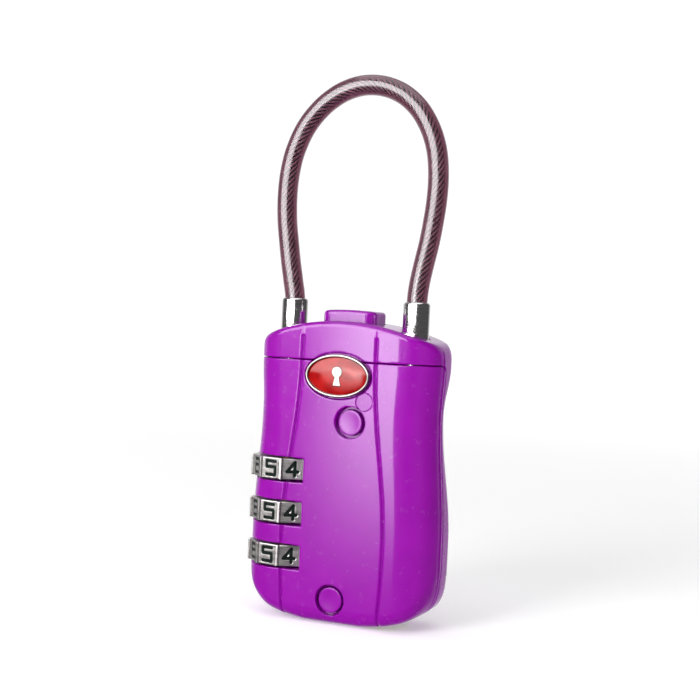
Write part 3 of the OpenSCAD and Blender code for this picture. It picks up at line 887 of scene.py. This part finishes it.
def make_glyph():
    """A raised keyhole in the middle of the enamel."""
    def field(p):
        x, y, z = p[:, 0], p[:, 1], p[:, 2] - BADGE[0]
        head = np.hypot(x, z - 0.55) - 0.78
        skirt = np.maximum(np.abs(x) - (0.34 - 0.22 * (z + 0.1)), np.abs(z + 0.62) - 0.82)
        shape = join(head, skirt * 0.97, 0.1)
        return meet(shape, np.abs(y + 5.6) - 0.18, 0.08)
    glyph = field_piece("badge_keyhole", field, [-1.1, -5.85, 34], [1.1, -5.4, 37.3], 0.06)
    finish_piece(glyph, "root", MATERIALS["silver"])


make_rim()
make_enamel()
make_glyph()


# -------------------- the dials

# digits as strokes on a grid 2 wide and 4 high
DIGITS = {
    0: [[(0, 0), (2, 0), (2, 4), (0, 4), (0, 0)]],
    1: [[(0.4, 3.2), (1.2, 4), (1.2, 0)]],
    2: [[(0, 4), (2, 4), (2, 2.2), (0, 1.8), (0, 0), (2, 0)]],
    3: [[(0, 4), (2, 4), (2, 0), (0, 0)], [(0.5, 2.1), (2, 2.1)]],
    4: [[(1.5, 0), (1.5, 4), (0, 1.2), (2.1, 1.2)]],
    5: [[(2, 4), (0, 4), (0, 2.3), (2, 2.3), (2, 0), (0, 0)]],
    6: [[(1.9, 4), (0, 4), (0, 0), (2, 0), (2, 2.2), (0, 2.2)]],
    7: [[(0, 4), (2, 4), (0.8, 0)]],
    8: [[(0, 0), (2, 0), (2, 4), (0, 4), (0, 0)], [(0, 2.1), (2, 2.1)]],
    9: [[(2, 2), (0, 2), (0, 4), (2, 4), (2, 0), (0.1, 0)]],
}
DIGIT_UNIT = (0.76, 0.49)                # one step across and one step up
STROKE_R = 0.24
ENGRAVED_T = 0.14
FACET = 5.32                             # how far a facet lies from the dial's axis
RIDGE_HALF = 0.24
DIAL_HALF = 1.55
DIAL_BORE_R = 1.95


def stroke_field(p, digit):
    """Distance to the strokes of a digit, for points (across, up) on its facet."""
    best = np.full(len(p), 9.0)
    for line in DIGITS[digit]:
        for a, b in zip(line, line[1:]):
            a = (np.array(a) - (1, 2)) * DIGIT_UNIT
            b = (np.array(b) - (1, 2)) * DIGIT_UNIT
            d = b - a
            t = np.clip(((p - a) @ d) / (d @ d), 0, 1)
            best = np.minimum(best, np.linalg.norm(p - a - t[:, None] * d, axis=1))
    return best - STROKE_R


def on_facet(p, number):
    """Points seen from facet number, counted from the one that faces the front: across, up, out."""
    a = math.radians(DIAL_PHASE + 36 * number)
    out = np.array([math.sin(a), -math.cos(a)])
    across = np.array([math.cos(a), math.sin(a)])
    return np.stack([p[:, :2] @ across, p[:, 2]], 1), p[:, :2] @ out


def digit_and_corner_shade_field(p):
    """Distance to the dark marks: the painted digits and painted shade in the corners beside the ridges."""
    best = np.full(len(p), 9.0)
    for number in range(10):
        flat, out = on_facet(p, number)
        near = (out > 4.6) & (np.abs(flat[:, 0]) < 1.5)
        if near.any():
            digit = (5 - number) % 10
            best[near] = np.minimum(best[near], stroke_field(flat[near], digit))
        # painted shade in the corners beside the ridge
        flat, out = on_facet(p, number + 0.5)
        corner = np.abs(np.abs(flat[:, 0]) - RIDGE_HALF - 0.05) - 0.05
        best = np.minimum(best, np.where((out > 4.6) & (out < DIAL_R - 0.12), corner, 9))
    return best


def dial_field(p):
    """One dial round the origin: ten engraved facets with a ridge between each two, and a notched bore."""
    slab = np.abs(p[:, 2]) - DIAL_HALF
    sides = np.full(len(p), -9.0)
    engraved = np.full(len(p), 9.0)
    ridges = np.full(len(p), 9.0)
    for number in range(10):
        flat, out = on_facet(p, number)
        sides = np.maximum(sides, out - FACET)
        strokes = stroke_field(flat, (5 - number) % 10)
        engraved = np.minimum(engraved, np.maximum(strokes, FACET - ENGRAVED_T - out))
        flat, out = on_facet(p, number + 0.5)
        ridge = meet(np.abs(flat[:, 0]) - RIDGE_HALF, out - DIAL_R, 0.12)
        ridges = np.minimum(ridges, np.maximum(ridge, 4 - out))
    body = join(sides, ridges, 0.08)
    body = cut(body, engraved, 0.04)
    body = meet(body, slab, 0.12)
    body = cut(body, np.hypot(p[:, 0], p[:, 1]) - DIAL_BORE_R)
    for number in range(10):
        flat, out = on_facet(p, number)
        notch = np.maximum(np.maximum(np.abs(flat[:, 0]) - 0.45, out - 2.75), 0.2 - p[:, 2])
        body = cut(body, np.maximum(notch, -out))
    return body


def make_dials():
    corner = np.array([5.9, 5.9, 1.6])
    # the mark attribute holds the digits' paint and the painted shade in the corners beside the ridges
    first = field_piece("dial_skin_1", dial_field, -corner, corner, 0.11, ("digit_paint_and_corner_shade", digit_and_corner_shade_field))
    first.data.materials.append(MATERIALS["dial"])
    pieces = [first]
    for i in (2, 3):
        copy = first.copy()
        copy.data = first.data.copy()
        copy.name = f"dial_skin_{i}"
        bpy.context.scene.collection.objects.link(copy)
        pieces.append(copy)
    for piece, node, body, z in zip(pieces, DIALS, DIAL_BODIES, DIAL_Z):
        piece.data.transform(Matrix.Translation((DIAL_X * MM, 0, z * MM)))
        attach(piece, body)
        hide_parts(node)


make_dials()


# -------------------- the coil springs

def coil(name, start, end, mean_r, wire_r, turns):
    """Compression spring from start to end, along X or Z, with one closed turn at each end."""
    start, end = np.array(start, float), np.array(end, float)
    length = np.linalg.norm(end - start)
    axis = (end - start) / length
    u = np.array([0.0, 1.0, 0.0])
    v = np.cross(axis, u)
    around, sides = 26, 8
    n = int(around * (turns + 2))
    verts = []
    closed = 2.1 * wire_r                # rise of one closed turn
    for i in range(n + 1):
        turn = i / around
        a = 2 * math.pi * turn
        along = np.interp(turn, [0, 1, turns + 1, turns + 2],
                          [wire_r, wire_r + closed, length - wire_r - closed, length - wire_r])
        out = math.cos(a) * u + math.sin(a) * v
        centre = start + along * axis + mean_r * out
        for k in range(sides):
            b = 2 * math.pi * k / sides
            verts.append(centre + wire_r * (math.cos(b) * out + math.sin(b) * axis))
    piece = link(name, verts, wall_faces(sides, n + 1) + end_faces(sides, n + 1))
    sharpen(piece, 60)
    return piece


# spring: the body it pushes, its fixed end, its moving end, mean radius, wire radius, turns
SPRINGS = {
    "button_spring": ("button", (0, 0, 39.52), (0, 0, 43), 1.95, 0.2, 1.5),
    "latch_spring": ("latch", (-7.05, 0, 34.6), (-3.25, 0, 34.6), 0.95, 0.15, 3.5),
    "reset_spring": ("reset_spindle", (DIAL_X, 0, 27.15), (DIAL_X, 0, 24.85), 1.6, 0.15, 1.5),
    "ejector_spring": ("ejector", (LOOP_X, 0, 20.6), (LOOP_X, 0, 28.8), 1.25, 0.2, 5.5),
}


def make_springs():
    for name, (body, start, end, mean_r, wire_r, turns) in SPRINGS.items():
        piece = coil(name + "_coil", start, end, mean_r, wire_r, turns)
        finish_piece(piece, None, MATERIALS["spring"], [name])
        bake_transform(piece)


make_springs()


# -------------------- inner parts, kept from the CAD

CAD_FINISH = {
    "steel": ["anchor_clip", "button_stem", "button_clip", "latch", "dial_spindle", "sleeve_clips",
              "cam_screw", "cylinder_pin", "key_cam"],
    "spring": ["index_spring", "code_fence"],
    "brass": ["ejector_plunger", "sleeve_1", "sleeve_2", "sleeve_3", "key_cylinder", "key_plug",
              "key_wafers"],
    "chrome": ["free_stud"],
}


def dress_cad_nodes():
    for finish, names in CAD_FINISH.items():
        for name in names:
            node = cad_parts[name]
            node.data.materials.clear()
            node.data.materials.append(MATERIALS[finish])


dress_cad_nodes()


# -------------------- floor and light

def make_floor():
    """Pale matt floor, 6 m each way."""
    size = 3.0
    material, nodes, links, shader = new_material("floor")
    grain = noise(nodes, links, 3, 2)
    links.new(blend_colour(nodes, links, span(nodes, links, grain.outputs["Fac"], 0, 1),
                           (0.93, 0.93, 0.93), (0.94, 0.94, 0.94)), shader.inputs["Base Color"])
    shader.inputs["Roughness"].default_value = 0.9
    shader.inputs["Specular IOR Level"].default_value = 0.1
    shader.inputs["Emission Color"].default_value = (1, 1, 1, 1)
    # it glows more further out, where the lights don't reach
    coordinates = nodes.new("ShaderNodeTexCoord")
    reach = nodes.new("ShaderNodeVectorMath")
    reach.operation = "LENGTH"
    glow = nodes.new("ShaderNodeMapRange")
    glow.inputs["From Min"].default_value, glow.inputs["From Max"].default_value = 0.08, 0.6
    glow.inputs["To Min"].default_value, glow.inputs["To Max"].default_value = 0.28, 0.95
    links.new(coordinates.outputs["Object"], reach.inputs[0])
    links.new(reach.outputs["Value"], glow.inputs["Value"])
    links.new(glow.outputs["Result"], shader.inputs["Emission Strength"])
    mesh = bpy.data.meshes.new("floor")
    corners = [(-size, -size, 0), (size, -size, 0), (size, size, 0), (-size, size, 0)]
    mesh.from_pydata(corners, [], [(0, 1, 2, 3)])
    floor = bpy.data.objects.new("floor", mesh)
    bpy.context.scene.collection.objects.link(floor)
    mesh.materials.append(material)
    floor.visible_glossy = False         # the enamel mirrors the dim room in front of it instead


def make_backdrop():
    """White studio wall all round, for the camera only; the world lights the lock."""
    radius, height, sides = 2.9, 3.5, 96
    angle = [2 * math.pi * k / sides for k in range(sides)]
    verts = [(radius * math.cos(a), radius * math.sin(a), z) for z in (0, height) for a in angle]
    mesh = bpy.data.meshes.new("backdrop")
    mesh.from_pydata(verts, [], wall_faces(sides, 2))
    material, _, _, shader = new_material("backdrop")
    shader.inputs["Base Color"].default_value = (0, 0, 0, 1)
    shader.inputs["Emission Color"].default_value = (1, 1, 1, 1)
    shader.inputs["Emission Strength"].default_value = 1.05
    mesh.materials.append(material)
    backdrop = bpy.data.objects.new("backdrop", mesh)
    bpy.context.scene.collection.objects.link(backdrop)
    backdrop.visible_diffuse = backdrop.visible_glossy = backdrop.visible_shadow = False


def area_light(name, place, target, size, power):
    data = bpy.data.lights.new(name, "AREA")
    data.shape = "RECTANGLE"
    data.size, data.size_y = size
    data.energy = power
    light = bpy.data.objects.new(name, data)
    bpy.context.scene.collection.objects.link(light)
    direction = Vector(target) - Vector(place)
    light.matrix_world = Matrix.Translation(place) @ direction.to_track_quat("-Z", "Y").to_matrix().to_4x4()
    return light


def softbox(name, azimuth, distance, width, low, high, brightness, fade=None, fills=True, mirrors=True):
    """Upright light that faces the lock; azimuth 0 is in front and grows to the right, sizes in mm.

    fade is the share of its width and of its height over which its left and lower edges fade in.
    A light that only fills isn't mirrored in gloss, and one that only mirrors doesn't light matt surfaces.
    """
    a = math.radians(azimuth)
    place = (distance * MM * math.sin(a), -distance * MM * math.cos(a), (low + high) / 2 * MM)
    size = (width * MM, (high - low) * MM)
    light = area_light(name, place, (0, 0, place[2]), size, brightness * math.pi * size[0] * size[1])
    light.visible_transmission = False
    light.visible_diffuse, light.visible_glossy = fills, mirrors
    if fade:
        light.data.use_nodes = True
        nodes, links = light.data.node_tree.nodes, light.data.node_tree.links
        geometry = nodes.new("ShaderNodeNewGeometry")
        split = nodes.new("ShaderNodeSeparateXYZ")
        links.new(geometry.outputs["Parametric"], split.inputs[0])
        strength = nodes.new("ShaderNodeMath")
        strength.operation = "MULTIPLY"
        for i, (axis, share) in enumerate(zip("XY", fade)):
            ramp = nodes.new("ShaderNodeMapRange")
            ramp.interpolation_type = "SMOOTHSTEP"
            ramp.inputs["From Max"].default_value = share
            links.new(split.outputs[axis], ramp.inputs["Value"])
            links.new(ramp.outputs["Result"], strength.inputs[i])
        links.new(strength.outputs["Value"], nodes["Emission"].inputs["Strength"])


def make_world():
    """White behind the lock, dim in front and beside it."""
    world = bpy.data.worlds.new("world")
    world.use_nodes = True
    nodes, links = world.node_tree.nodes, world.node_tree.links
    coordinates = nodes.new("ShaderNodeTexCoord")
    lean = nodes.new("ShaderNodeVectorMath")
    lean.operation = "DOT_PRODUCT"
    lean.inputs[1].default_value = (-0.35, 0.8, 0)
    links.new(coordinates.outputs["Generated"], lean.inputs[0])
    ramp = nodes.new("ShaderNodeMapRange")
    ramp.inputs["From Min"].default_value, ramp.inputs["From Max"].default_value = 0.4, 0.85
    ramp.inputs["To Min"].default_value, ramp.inputs["To Max"].default_value = 0.08, 1.05
    nodes["Background"].inputs["Color"].default_value = (1, 1, 1, 1)
    links.new(lean.outputs["Value"], ramp.inputs["Value"])
    links.new(ramp.outputs["Result"], nodes["Background"].inputs["Strength"])
    bpy.context.scene.world = world


def make_lights():
    """The strip is mirrored in the body and the loop light in the cable above it; the others fill."""
    softbox("strip", -19, 225, 88, -50, 60, 12, (0.6, 0.8))
    softbox("key", -19, 225, 88, 60, 220, 9, mirrors=False)
    softbox("loop", -17.5, 225, 290, 45, 240, 8.5, (0.02, 0.02), fills=False)
    softbox("left", -75, 300, 160, 20, 260, 2.0, mirrors=False)
    softbox("right", 62, 400, 240, 20, 300, 3.0, mirrors=False)
    area_light("top", (0, -0.05, 0.5), (0, 0, 0), (0.5, 0.5), 1.0)


make_floor()
make_backdrop()
make_world()
make_lights()
bpy.context.scene.view_settings.view_transform = "Standard"
